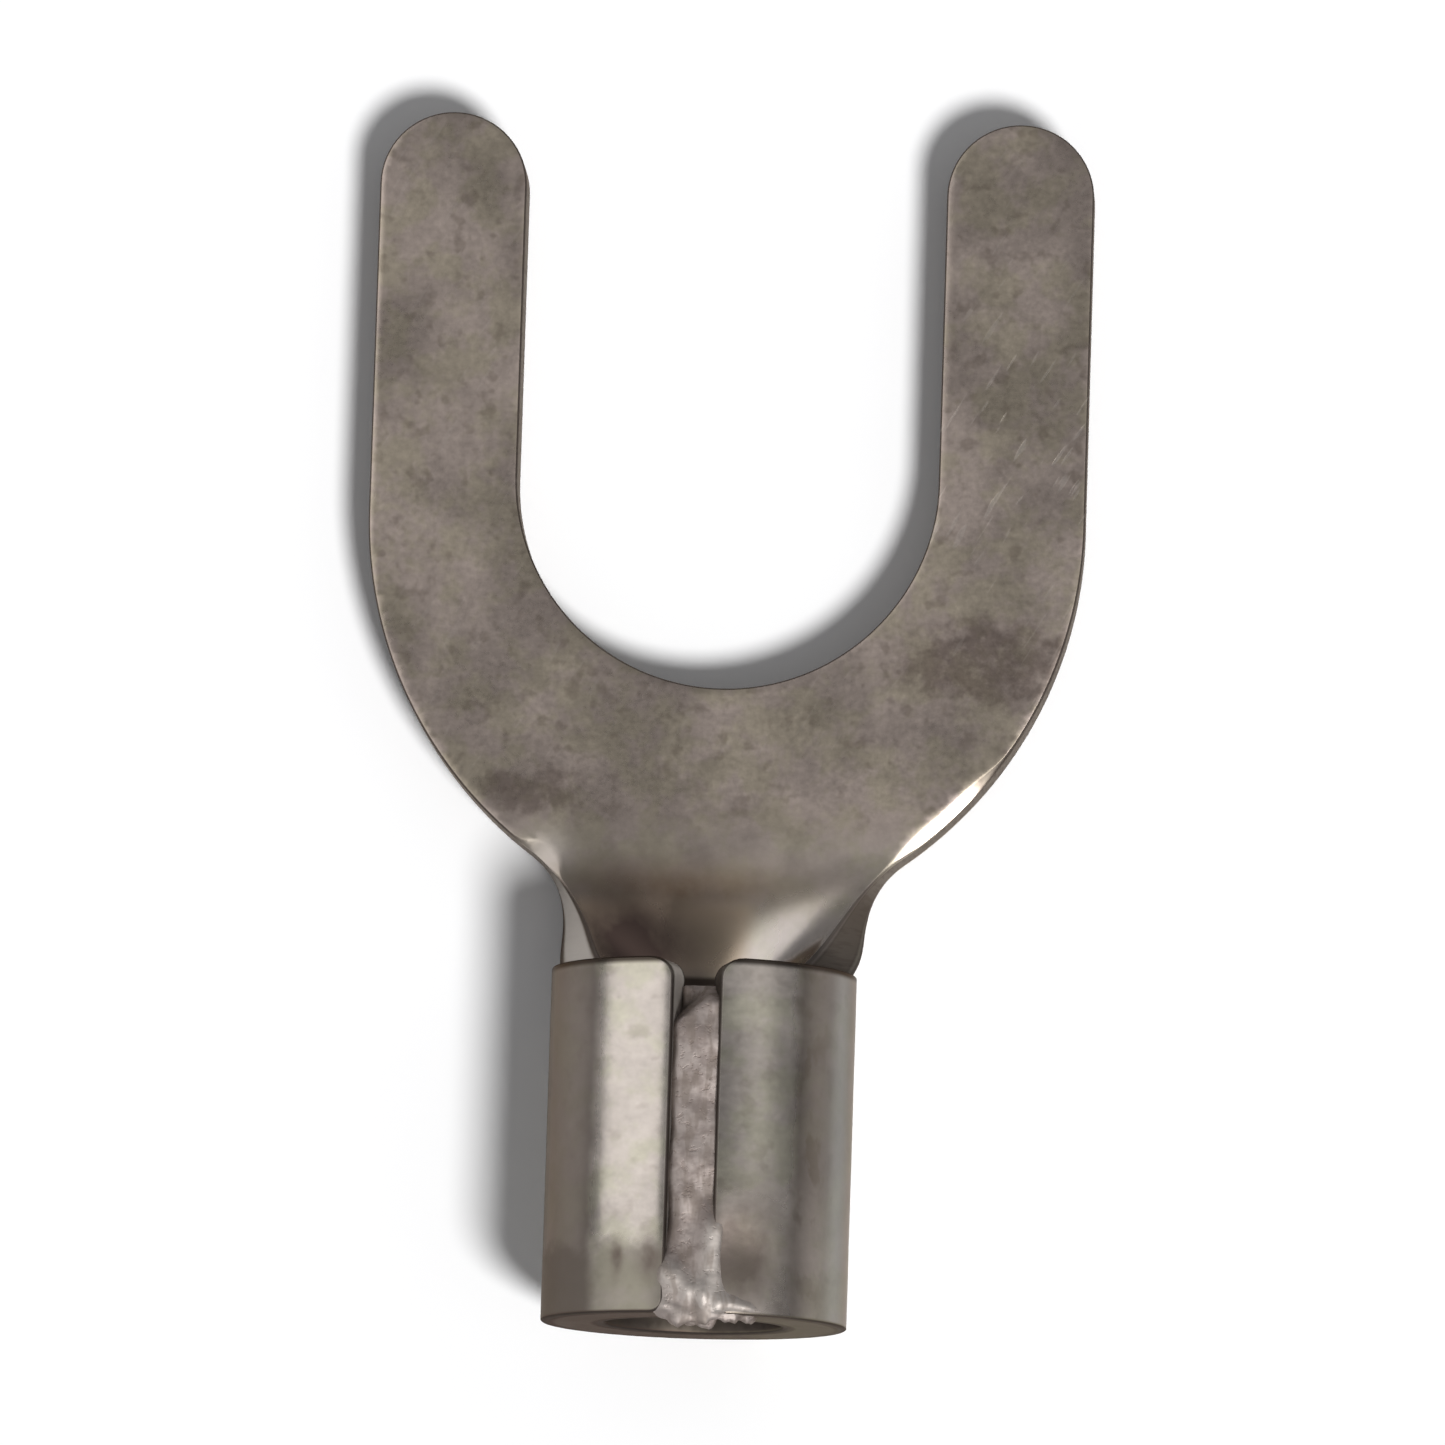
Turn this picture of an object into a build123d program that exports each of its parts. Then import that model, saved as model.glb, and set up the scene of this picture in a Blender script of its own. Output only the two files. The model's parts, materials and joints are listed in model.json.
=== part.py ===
from build123d import *
import math
import os

os.makedirs("parts", exist_ok=True)

# A fork terminal folded from one sheet. X runs across the fork, +Y towards the prong tips and
# +Z up, with the seam on top. The origin is the centre of the slot's round end, on the underside
# of the tongue. Everything is in millimetres.

# The sheet, and the fork that is stamped from it
stock = 0.8
slot_width = 5.3
prong_width = 1.85
prong_reach = 4.6
shoulder_radius = 5.25
shoulder_start = 0.5
neck_width = 3.58
neck_fillet = 1.3

# The rolled barrel, from its front edge to the end where the wire goes in
barrel_front = 6.35
barrel_length = 4.4
barrel_bore = 2.2
barrel_drop = 0.2
rim_break = 0.07

# The neck: where the curl starts ahead of the barrel, how late it comes on, and how many
# sections shape it
neck_length = 1.65
curl_power = 1.8
neck_sections = 9

# The butt seam on top of the barrel, and the level run of braze in it
seam_width = 0.6
seam_corner = 0.24
braze_setback = 0.3
braze_recess = 0.13

# Where the braze gathered in lumps at the wire end: degrees round from the seam, distance ahead
# of the end, and radius
lump_places = [(2, 0.12, 0.3), (17, 0.24, 0.28), (-3, 0.72, 0.26)]
lump_rise = 0.09
lump_flatness = 0.55

# Shallow V-grooves pressed inside the barrel to grip the wire, clear of the brazed seam
grip_count = 4
grip_width = 0.24
grip_depth = 0.1
grip_seam_clearance = 0.5

# Sizes that follow from these
slot_radius = slot_width / 2
tip_radius = prong_width / 2
fork_half = slot_radius + prong_width
neck_half = neck_width / 2
bore_radius = barrel_bore / 2
outer_radius = bore_radius + stock
roll_radius = bore_radius + stock / 2
axis_z = outer_radius - barrel_drop
front_y = -barrel_front
rear_y = front_y - barrel_length
neck_start_y = front_y + neck_length

# The outline's shoulder arc bulges out and its fillet arc hollows in, and they touch at one point
shoulder_x = fork_half - shoulder_radius
shoulder_y = -shoulder_start
fillet_x = neck_half + neck_fillet
centre_gap = shoulder_radius + neck_fillet
fillet_y = shoulder_y - math.sqrt(centre_gap**2 - (fillet_x - shoulder_x) ** 2)
meet_share = shoulder_radius / centre_gap
meet_y = shoulder_y + (fillet_y - shoulder_y) * meet_share


def half_width(y):
    """Half the width of the flat blank at y, anywhere behind the slot."""
    if y > meet_y:
        return shoulder_x + math.sqrt(shoulder_radius**2 - (y - shoulder_y) ** 2)
    if y > fillet_y:
        return fillet_x - math.sqrt(neck_fillet**2 - (y - fillet_y) ** 2)
    return neck_half


def tongue():
    """The flat fork: two prongs with round tips, the slot between them and both shoulders."""
    prong_y = prong_reach - tip_radius
    prong = Pos(slot_radius + tip_radius, prong_y) * Circle(tip_radius)
    prong += Pos(slot_radius + tip_radius, prong_y / 2) * Rectangle(prong_width, prong_y)
    plate = Pos(shoulder_x, shoulder_y) * Circle(shoulder_radius)
    plate &= Pos(fork_half / 2, neck_start_y / 2) * Rectangle(fork_half, -neck_start_y)
    plate += Pos(fork_half / 2, shoulder_y / 2) * Rectangle(fork_half, shoulder_start)
    half = prong + plate - Circle(slot_radius)
    return extrude(half + mirror(half, about=Plane.YZ), stock, dir=(0, 0, 1))


def neck_section(y):
    """The sheet's section at y: a strip bent round an axis above it, with square cut edges."""
    progress = (neck_start_y - y) / neck_length
    curl = progress**curl_power / roll_radius
    floor_z = stock / 2 - barrel_drop * progress**2 * (3 - 2 * progress)

    def point(along, above):
        if curl == 0:
            return (along, y, floor_z + above)
        turn = along * curl
        radius = 1 / curl - above
        return (radius * math.sin(turn), y, floor_z + 1 / curl - radius * math.cos(turn))

    def side(above):
        ends = [point(-half_width(y), above), point(half_width(y), above)]
        if curl == 0:
            return Line(*ends)
        return ThreePointArc(ends[0], point(0, above), ends[1])

    top = side(stock / 2)
    bottom = side(-stock / 2)
    cuts = [Line(top @ 0, bottom @ 0), Line(top @ 1, bottom @ 1)]
    return Face(Wire([top, cuts[1], bottom, cuts[0]]))


def neck():
    """The flat sheet curling up until it runs into the barrel's floor."""
    steps = range(neck_sections)
    stations = [neck_start_y - neck_length * step / (neck_sections - 1) for step in steps]
    return loft([neck_section(y) for y in stations])


def across(y):
    """The plane square to the barrel at y, seen from the fork, for shapes that run rearwards."""
    return Plane(origin=(0, y, axis_z), x_dir=(1, 0, 0), z_dir=(0, -1, 0))


def grip_grooves():
    """The grooves inside the barrel, evenly spaced, each stopping short of the seam."""
    barrel_axis = Axis((0, 0, axis_z), (0, 1, 0))
    seam_turn = math.degrees((seam_width / 2 + grip_seam_clearance) / bore_radius)
    corners = [(-grip_width, bore_radius - grip_depth), (0, bore_radius + grip_depth)]
    corners += [(grip_width, bore_radius - grip_depth)]
    tooth = Polygon(*corners, align=None)
    pitch = barrel_length / (grip_count + 1)
    places = [front_y - pitch * (step + 1) for step in range(grip_count)]
    seats = [Plane(origin=(0, y, axis_z), x_dir=(0, 1, 0), z_dir=(1, 0, 0)) for y in places]
    starts = [(seat * tooth).rotate(barrel_axis, seam_turn) for seat in seats]
    return [revolve(start, barrel_axis, 360 - 2 * seam_turn) for start in starts]


def barrel():
    """The rolled tube with its butt seam open on top, and flap corners rounded at the front."""
    tube = extrude(across(front_y) * Circle(outer_radius), barrel_length)
    tube = chamfer(tube.faces().sort_by(Axis.Y)[0].edges(), rim_break)
    tube -= extrude(across(front_y) * Circle(bore_radius), barrel_length)
    tube -= grip_grooves()
    gap_height = 2 * outer_radius
    gap = Rectangle(seam_width, barrel_length, align=(Align.CENTER, Align.MAX))
    flare_width = seam_width + 2 * seam_corner
    flare = Rectangle(flare_width, seam_corner, align=(Align.CENTER, Align.MAX))
    for side in (-1, 1):
        flare -= Pos(side * flare_width / 2, -seam_corner) * Circle(seam_corner)
    cutter = extrude(Pos(0, front_y, axis_z) * (gap + flare), gap_height)
    return tube - cutter


def braze():
    """The filler in the seam: a level run a little below the flaps, and lumps at its rear end."""
    run_radius = outer_radius - braze_recess
    run = Circle(run_radius) - Circle(bore_radius)
    run &= Rectangle(seam_width, run_radius, align=(Align.CENTER, Align.MIN))
    bead = extrude(across(front_y - braze_setback) * run, barrel_length - braze_setback)
    for turn, ahead, radius in lump_places:
        lump = scale(Sphere(radius), by=(1, 1, lump_flatness))
        top = outer_radius + lump_rise
        seat = Pos(0, rear_y + ahead, axis_z) * Rot(0, turn, 0)
        bead += seat * Pos(0, 0, top - radius * lump_flatness) * lump
    return bead


terminal = tongue() + neck() + barrel() + braze()
export_step(terminal, "parts/fork_terminal.step")
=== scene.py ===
# %% [markdown]
# # A fork terminal, dressed on its frame
# The real thing is one small sheet of tin-plated copper. A press stamps it flat, curls the neck
# and rolls the far end into a barrel, and a run of braze closes the barrel's seam. This lesson
# makes it the same way: draw the flat blank, give it thickness and soft edges, fold it by a rule,
# then lay the braze in the seam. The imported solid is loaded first, so every size starts from it.

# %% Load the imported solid
import json
import math
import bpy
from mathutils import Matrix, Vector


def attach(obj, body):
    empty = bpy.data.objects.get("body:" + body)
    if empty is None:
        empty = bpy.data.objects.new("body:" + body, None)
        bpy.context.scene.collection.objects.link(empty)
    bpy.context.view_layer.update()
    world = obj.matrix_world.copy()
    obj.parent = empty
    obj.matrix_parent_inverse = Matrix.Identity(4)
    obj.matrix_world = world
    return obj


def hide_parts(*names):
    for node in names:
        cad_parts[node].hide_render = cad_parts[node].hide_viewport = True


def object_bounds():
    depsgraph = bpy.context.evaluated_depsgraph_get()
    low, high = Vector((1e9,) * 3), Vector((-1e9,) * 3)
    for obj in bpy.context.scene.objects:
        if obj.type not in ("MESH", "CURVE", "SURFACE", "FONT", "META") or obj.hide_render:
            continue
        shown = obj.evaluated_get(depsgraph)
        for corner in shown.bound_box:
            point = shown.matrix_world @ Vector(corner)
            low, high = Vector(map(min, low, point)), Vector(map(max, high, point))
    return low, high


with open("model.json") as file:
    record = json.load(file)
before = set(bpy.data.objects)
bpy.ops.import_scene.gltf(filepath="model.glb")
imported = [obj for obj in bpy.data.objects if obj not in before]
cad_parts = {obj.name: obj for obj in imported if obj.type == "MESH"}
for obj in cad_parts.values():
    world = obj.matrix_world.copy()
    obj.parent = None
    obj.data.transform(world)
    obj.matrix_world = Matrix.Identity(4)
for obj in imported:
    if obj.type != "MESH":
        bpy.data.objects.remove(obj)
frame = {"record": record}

from types import SimpleNamespace

import bmesh
import bpy
import numpy as np
from mathutils import Matrix, Vector, noise
from mathutils.geometry import delaunay_2d_cdt

cad_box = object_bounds()
print("solid's box in mm:", [[round(v * 1000, 2) for v in corner] for corner in cad_box])

# %% [markdown]
# ## Sizes
# The slot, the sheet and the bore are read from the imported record's mounts, and the reach of the
# prongs from the solid's box. The arcs of the outline and the curl of the neck are the solid's own,
# so they are named here in millimetres. One factor turns the meshes into metres at the very end.

# %% Sizes in millimetres
METRES = 0.001
mounts = {mount["name"]: mount for mount in frame["record"]["mounts"]}
slot_sizes = mounts["stud_slot"]["dims"]
barrel_sizes = mounts["wire_barrel"]["dims"]
slot_radius = slot_sizes["r_mm"]
stock = slot_sizes["length_mm"]
bore_radius = barrel_sizes["r_mm"]
barrel_length = barrel_sizes["length_mm"]
barrel_middle_y = mounts["wire_barrel"]["pos_m"][1] / METRES
fork_half = cad_box[1][0] / METRES
prong_reach = cad_box[1][1] / METRES
floor_z = cad_box[0][2] / METRES

shoulder_radius = 5.25
shoulder_start = 0.5
neck_half = 1.79
neck_fillet = 1.3
neck_length = 1.65
curl_power = 1.8
barrel_drop = 0.2
seam_width = 0.6
seam_corner = 0.24

# seam_line is the seam's middle on the flat sheet, half way round the rolled barrel
tip_radius = (fork_half - slot_radius) / 2
outer_radius = bore_radius + stock
roll_radius = bore_radius + stock / 2
seam_line = math.pi * roll_radius
front_y = barrel_middle_y + barrel_length / 2
rear_y = barrel_middle_y - barrel_length / 2
neck_start_y = front_y + neck_length
flap_end = roll_radius * (math.pi - math.asin(seam_width / 2 / outer_radius))
print("barrel from", round(front_y, 2), "to", round(rear_y, 2))
print("the flat blank is", round(2 * flap_end, 2), "mm wide where it will be the barrel")

# %% [markdown]
# ## Sums written as Python
# Geometry Nodes and materials are both built from sockets. Wiring a Math node for every plus and
# times hides the rule that they make, so one small class wraps a socket and turns Python's
# operators into Math nodes. Any other node comes from the bench's add method.

# %% A socket that can be added up
class Reading:
    """One output socket. Arithmetic on it adds Math nodes to its tree."""

    def __init__(self, bench, socket):
        self.bench = bench
        self.socket = socket

    def __add__(self, other):
        return self.bench.maths("ADD", self, other)

    def __sub__(self, other):
        return self.bench.maths("SUBTRACT", self, other)

    def __rsub__(self, other):
        return self.bench.maths("SUBTRACT", other, self)

    def __mul__(self, other):
        return self.bench.maths("MULTIPLY", self, other)

    def __truediv__(self, other):
        return self.bench.maths("DIVIDE", self, other)

    def __rtruediv__(self, other):
        return self.bench.maths("DIVIDE", other, self)

    def __pow__(self, other):
        return self.bench.maths("POWER", self, other)

    def __neg__(self):
        return self.bench.maths("MULTIPLY", self, -1.0)

    __radd__ = __add__
    __rmul__ = __mul__


class Bench:
    """A node tree, with one way to add any node and short names for common sums."""

    def __init__(self, tree):
        self.tree = tree

    def add(self, kind, settings=None, values=None, out=0):
        """A node of that kind: its settings first, then the values or links of its sockets."""
        node = self.tree.nodes.new(kind)
        for name, value in (settings or {}).items():
            setattr(node, name, value)
        self.feed(node, values or {})
        return Reading(self, node.outputs[out])

    def feed(self, node, values):
        """Links readings to the node's sockets, and sets plain values in them."""
        for key, value in values.items():
            if isinstance(value, Reading):
                self.tree.links.new(value.socket, node.inputs[key])
            else:
                node.inputs[key].default_value = value

    def maths(self, operation, *values):
        """A Math node with those values."""
        return self.add("ShaderNodeMath", {"operation": operation}, dict(enumerate(values)))

    def clamp(self, value):
        """The value, held between 0 and 1."""
        return self.add("ShaderNodeClamp", None, {0: value})

    def fade(self, value, start, end):
        """0 before start and 1 after end, with a soft step between them."""
        values = {"Value": value, "From Min": start, "From Max": end}
        return self.add("ShaderNodeMapRange", {"interpolation_type": "SMOOTHSTEP"}, values)

    def blend(self, share, first, second):
        """The first colour, turning into the second as the share goes from 0 to 1."""
        values = {0: share, 6: first, 7: second}
        return self.add("ShaderNodeMix", {"data_type": "RGBA"}, values, out=2)

    def layered(self, colour, *layers):
        """The colour with each tint laid over it in turn, by its share."""
        for share, tint in layers:
            colour = self.blend(share, colour, tint)
        return colour

    def scaled(self, vector, amount):
        """A vector or a colour times one number."""
        values = {0: vector, "Scale": amount}
        return self.add("ShaderNodeVectorMath", {"operation": "SCALE"}, values)

    def stretch(self, vector, scale):
        """The vector with each part multiplied, which stretches a pattern."""
        values = {0: vector, 1: scale}
        return self.add("ShaderNodeVectorMath", {"operation": "MULTIPLY"}, values)

    def split(self, vector):
        """The three parts of a vector."""
        first = self.add("ShaderNodeSeparateXYZ", None, {0: vector})
        node = first.socket.node
        return [Reading(self, node.outputs[part]) for part in range(3)]

    def noise(self, place, size, detail=2.0, roughness=0.5):
        """Soft noise from about 0.2 to 0.8, with bumps about that size apart."""
        values = {"Vector": place, "Scale": 1.0 / size, "Detail": detail, "Roughness": roughness}
        return self.add("ShaderNodeTexNoise", None, values)

    def hill(self, along, ahead, centre, widths):
        """A smooth hill, 1 at its centre, that fades out over about its widths."""
        across = (along - centre[0]) / widths[0]
        down = (ahead - centre[1]) / widths[1]
        return self.maths("EXPONENT", -(across * across + down * down))


print("the bench is ready")

# %% [markdown]
# ## The flat blank
# Before it is folded, the terminal is a flat shape of straight lines and plain arcs: two prongs
# with round tips, a round-ended slot, shoulders that swell out, fillets that hollow in to the neck,
# and a wide rectangle that will be the barrel. Only the right half is drawn, and the left is its
# mirror image.

# %% Draw the outline
POINT_PITCH = 0.085
LEAST_ARC_STEPS = 6
RELIEF_RADIUS = 0.12
REAR_CORNER = 0.16


def arc(centre, radius, start, end):
    """Points round an arc between two angles in degrees, without the last one."""
    sweep = math.radians(end - start)
    steps = max(LEAST_ARC_STEPS, round(abs(sweep) * radius / POINT_PITCH))
    angles = [math.radians(start) + sweep * step / steps for step in range(steps)]
    return [(centre[0] + radius * math.cos(a), centre[1] + radius * math.sin(a)) for a in angles]


def line(start, end):
    """Points along a line, without the last one."""
    steps = max(1, round(math.dist(start, end) / POINT_PITCH))
    (x0, y0), (x1, y1) = start, end
    return [(x0 + (x1 - x0) * step / steps, y0 + (y1 - y0) * step / steps) for step in range(steps)]


def half_outline():
    """The right half, from the middle of the slot's end round to the middle of the wire end."""
    tip = (slot_radius + tip_radius, prong_reach - tip_radius)
    shoulder = (fork_half - shoulder_radius, -shoulder_start)
    fillet_x = neck_half + neck_fillet
    reach = shoulder_radius + neck_fillet
    fillet = (fillet_x, shoulder[1] - math.sqrt(reach**2 - (fillet_x - shoulder[0]) ** 2))
    lean = math.degrees(math.atan2(fillet[1] - shoulder[1], fillet[0] - shoulder[0]))
    relief = (neck_half + RELIEF_RADIUS, front_y + RELIEF_RADIUS)
    corner = (flap_end - seam_corner, front_y - seam_corner)
    rear = (flap_end - REAR_CORNER, rear_y + REAR_CORNER)
    return (
        arc((0, 0), slot_radius, -90, 0)
        + line((slot_radius, 0), (slot_radius, tip[1]))
        + arc(tip, tip_radius, 180, 0)
        + line((fork_half, tip[1]), (fork_half, shoulder[1]))
        + arc(shoulder, shoulder_radius, 0, lean)
        + arc(fillet, neck_fillet, lean + 180, 180)
        + line((neck_half, fillet[1]), (neck_half, relief[1]))
        + arc(relief, RELIEF_RADIUS, 180, 270)
        + line((relief[0], front_y), (corner[0], front_y))
        + arc(corner, seam_corner, 90, 0)
        + line((flap_end, corner[1]), (flap_end, rear[1]))
        + arc(rear, REAR_CORNER, 0, -90)
        + line((rear[0], rear_y), (0, rear_y))
    )


right_half = half_outline()
left_half = [(-x, y) for x, y in reversed(right_half[1:])]
outline = np.array(right_half + [(0, rear_y)] + left_half)
print("outline points:", len(outline))

# %% [markdown]
# ## Thickness and soft edges
# A stamped edge is never a sharp line: the punch drags the top rim round, and tumbling in a drum
# softens the rest. Light catches on that roundness, so it has to be real geometry: rings of the
# outline that step inwards and over the edge. Bending the neck pulled on the shoulders, so in two
# places there the rim is rolled over further, to a small slope that catches a lamp. Inside the
# first ring, evenly spread points are joined by a Delaunay mesh.

# %% Rings round the rim
RIM_INSET = 0.026
RIM_DROP_TOP = 0.055
RIM_DROP_UNDER = 0.05
RIM_STEPS = 5
WALL_STEPS = 6
ROLLED_SLOPE = 0.35

# Where the rim is rolled over: the place, how far that reaches and how many times wider it is
ROLLED_RIGHT = ((2.9, neck_start_y + 0.45), 0.85, 6.4)
ROLLED_LEFT = ((-2.12, neck_start_y - 0.05), 0.3, 8.5)


def rolled_share(points, middle, reach):
    """1 along the outline near middle, 0 beyond its reach, with a soft step between them."""
    apart = np.hypot(points[:, 0] - middle[0], points[:, 1] - middle[1]) / reach
    return np.exp(-(apart**4))


def inward_normals(points):
    """The unit normals of a closed outline, pointing into the metal."""
    ahead = np.roll(points, -1, axis=0) - np.roll(points, 1, axis=0)
    ahead /= np.linalg.norm(ahead, axis=1)[:, None]
    following = np.roll(points, -1, axis=0)
    turning = np.sum(points[:, 0] * following[:, 1] - following[:, 0] * points[:, 1])
    return np.column_stack([-ahead[:, 1], ahead[:, 0]]) * np.sign(turning)


def rim_profile():
    """(inset, height) of each ring, from the top face over the edge to the underside."""
    quarter = [math.pi / 2 * step / RIM_STEPS for step in range(RIM_STEPS + 1)]
    drops = [(RIM_INSET * (1 - math.sin(a)), 1 - math.cos(a)) for a in quarter]
    top = [(inset, stock / 2 - RIM_DROP_TOP * drop) for inset, drop in drops]
    under = [(inset, RIM_DROP_UNDER * drop - stock / 2) for inset, drop in drops]
    wall_top, wall_under = top[-1][1], under[-1][1]
    shares = [step / WALL_STEPS for step in range(1, WALL_STEPS)]
    wall = [(0.0, wall_top + (wall_under - wall_top) * share) for share in shares]
    return top + wall + list(reversed(under))


def rolled_rings():
    """Each ring's places and heights, wider and sloped where the rim is rolled over."""
    normals = inward_normals(outline)
    profile = rim_profile()
    widths = np.ones(len(outline))
    rolled = np.zeros(len(outline))
    for middle, reach, width in (ROLLED_RIGHT, ROLLED_LEFT):
        share = rolled_share(outline, middle, reach)
        widths += (width - 1) * share
        rolled += share
    rings = [outline + normals * (inset * widths)[:, None] for inset, height in profile]
    heights = [np.full(len(outline), height) for inset, height in profile]
    for ring in range(RIM_STEPS + 1):
        slope = stock / 2 - ROLLED_SLOPE * widths * (RIM_INSET - profile[ring][0])
        heights[ring] += rolled * (slope - heights[ring])
    return rings, heights


rim_rings, rim_heights = rolled_rings()
print("rings round the rim:", len(rim_rings))

# %% Build the flat blank as a closed solid
EDGE_CLEARANCE = 0.6 * POINT_PITCH
COLUMN_PITCH = POINT_PITCH * math.sqrt(3) / 2
BATCHES = 40
INSIDE_ONLY = 1
SAME_POINT = 1e-6
WALL_RIM_SHARE = 0.5


def inside(points, ring):
    """Which points lie inside the ring, and clear of its points."""
    x, y = points[:, 0, None], points[:, 1, None]
    x0, y0 = ring[:, 0], ring[:, 1]
    x1, y1 = np.roll(x0, -1), np.roll(y0, -1)
    rise = np.where(y1 == y0, 1, y1 - y0)
    crosses = ((y0 > y) != (y1 > y)) & (x < (x1 - x0) * (y - y0) / rise + x0)
    clear = np.min((x - x0) ** 2 + (y - y0) ** 2, axis=1) > EDGE_CLEARANCE**2
    return (np.sum(crosses, axis=1) % 2 == 1) & clear


def spread_points(ring):
    """Points in even columns that fill the ring, like a honeycomb. The columns run along the
    barrel, beside its seam edges, which then reflect without a zigzag."""
    low, high = ring.min(axis=0), ring.max(axis=0)
    count = round((high[0] - low[0]) / COLUMN_PITCH)
    columns = np.linspace(low[0], high[0], count + 1)
    rows = np.arange(low[1], high[1], POINT_PITCH)
    grid = [(x, y + POINT_PITCH / 2 * (column % 2)) for column, x in enumerate(columns) for y in rows]
    batches = np.array_split(np.array(grid), BATCHES)
    return np.concatenate([batch[inside(batch, ring)] for batch in batches])


def joined(edge, filling):
    """Triangles over the edge's points and then the filling's, by their numbers."""
    points = [Vector(point) for point in np.concatenate([edge, filling])]
    border = list(range(len(edge)))
    found = delaunay_2d_cdt(points, [], [border], INSIDE_ONLY, SAME_POINT)
    origin = [sources[0] for sources in found[3]]
    return [[origin[corner] for corner in face] for face in found[2]]


def blank_mesh(name):
    """The flat blank as one closed mesh, its middle plane at height 0."""
    filling = spread_points(rim_rings[0])
    triangles = joined(rim_rings[0], filling)
    count = len(outline)
    last_ring = (len(rim_rings) - 1) * count
    top_fill = len(rim_rings) * count
    under_fill = top_fill + len(filling)
    parts = [np.column_stack(level) for level in zip(rim_rings, rim_heights)]
    parts += [np.column_stack([filling, np.full(len(filling), side * stock / 2)]) for side in (1, -1)]
    vertices = np.concatenate(parts)

    faces = [[c if c < count else top_fill + c - count for c in face] for face in triangles]
    for face in triangles:
        faces.append([last_ring + c if c < count else under_fill + c - count for c in reversed(face)])
    for ring in range(len(rim_rings) - 1):
        for point in range(count):
            after = (point + 1) % count
            upper, lower = ring * count, (ring + 1) * count
            faces.append([upper + point, lower + point, lower + after, upper + after])
    mesh = bpy.data.meshes.new(name)
    mesh.from_pydata(vertices.tolist(), [], faces)

    # how much painted shade each point carries: all of it on the rim, less on the cut wall
    rim = np.zeros(len(vertices))
    rim[count:last_ring] = 1.0
    rim[(RIM_STEPS + 1) * count : (RIM_STEPS + WALL_STEPS) * count] = WALL_RIM_SHARE
    mesh.attributes.new("rim", "FLOAT", "POINT").data.foreach_set("value", rim)
    return mesh


def tidy_mesh(mesh):
    """Merges doubled points, points every face outwards and shades the mesh smooth."""
    work = bmesh.new()
    work.from_mesh(mesh)
    bmesh.ops.remove_doubles(work, verts=work.verts, dist=1e-5)
    bmesh.ops.recalc_face_normals(work, faces=work.faces)
    open_edges = sum(not edge.is_manifold for edge in work.edges)
    for face in work.faces:
        face.smooth = True
    work.to_mesh(mesh)
    work.free()
    return open_edges


blank = blank_mesh("flat_blank")
print("flat blank:", len(blank.vertices), "points, open edges", tidy_mesh(blank))

# %% [markdown]
# ## The fold
# One rule folds everything. At each distance from the fork the sheet has one curl, which is 0 in the
# tongue, grows through the neck and stays the same down the barrel. A point that lies some way along
# the flat sheet moves round that circle by the same length, as real metal does, and its height above
# the middle of the sheet stays square to the surface. The neck's floor dips to the barrel's floor,
# and the barrel stands a hair to the left. This is a job for Geometry Nodes: the sizes stay as
# inputs, and the braze can go through the same tree later. Rolling leaves the sheet uneven by a few
# thousandths of a millimetre, which shows in every reflection. The neck's left side is less curled
# than its right, a dent sits beside the seam, and four shallow grooves in the bore grip the wire.

# %% Build the fold tree
GROOVE_COUNT = 4
GROOVE_WIDTH = 0.08
FOLD_SIZES = {
    "Stock": stock,
    "Neck start": neck_start_y,
    "Neck length": neck_length,
    "Curl power": curl_power,
    "Roll radius": roll_radius,
    "Drop": barrel_drop,
    "Lean": 0.05,
    "Left side open": 0.2,
    "Dent": 0.045,
    "Groove depth": 0.09,
    "Groove pitch": barrel_length / (GROOVE_COUNT + 1),
    "Unevenness": 0.02,
    "Wave size": 0.9,
    "Scale": METRES,
}

# Places on the flat sheet: the centre, and how far each fades out in both ways
OPENED_SIDE = ((-2.0, front_y + 0.15), (1.3, 0.55))
DENT_PLACE = ((seam_line - 0.58, rear_y + 0.77), (0.28, 0.36))

# Heights over which a change that belongs to one face fades in towards it
FACE_FADE = (0.2, 0.38)


def sine_over_angle(bench, angle):
    """sin(a)/a, which is 1 where the angle is almost 0."""
    safe = bench.maths("MAXIMUM", bench.maths("ABSOLUTE", angle), 1e-3)
    return bench.maths("SINE", safe) / safe


def opened_curl(bench, given, along, ahead, progress):
    """The sheet's curl, a little less on the neck's left side."""
    curl = progress ** given["Curl power"] / given["Roll radius"]
    opened = bench.hill(along, ahead, *OPENED_SIDE) * bench.fade(ahead, front_y - 0.02, front_y + 0.12)
    return curl * (1 - given["Left side open"] * opened)


def pressed_height(bench, given, place, along, ahead, height):
    """The height above the middle of the sheet, with its unevenness, the dent and the grooves."""
    thinning = 1 - given["Unevenness"] * bench.noise(place, given["Wave size"], detail=1.0)
    face_start, face_end = FACE_FADE
    dent = bench.hill(along, ahead, *DENT_PLACE) * bench.fade(height, -face_start, -face_end)
    gap = (front_y - ahead) / given["Groove pitch"]
    apart = (gap - bench.maths("ROUND", gap)) * given["Groove pitch"] / GROOVE_WIDTH
    groove = bench.maths("EXPONENT", -(apart * apart)) * bench.fade(height, face_start, face_end)
    last = GROOVE_COUNT + 0.5
    groove = groove * bench.fade(gap, 0.5, 0.6) * bench.fade(gap, last, last - 0.1)
    side = bench.maths("ABSOLUTE", along)
    groove = groove * bench.fade(side, seam_line - 1.09, seam_line - 1.25)
    return height * thinning + given["Dent"] * dent - given["Groove depth"] * groove


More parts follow.
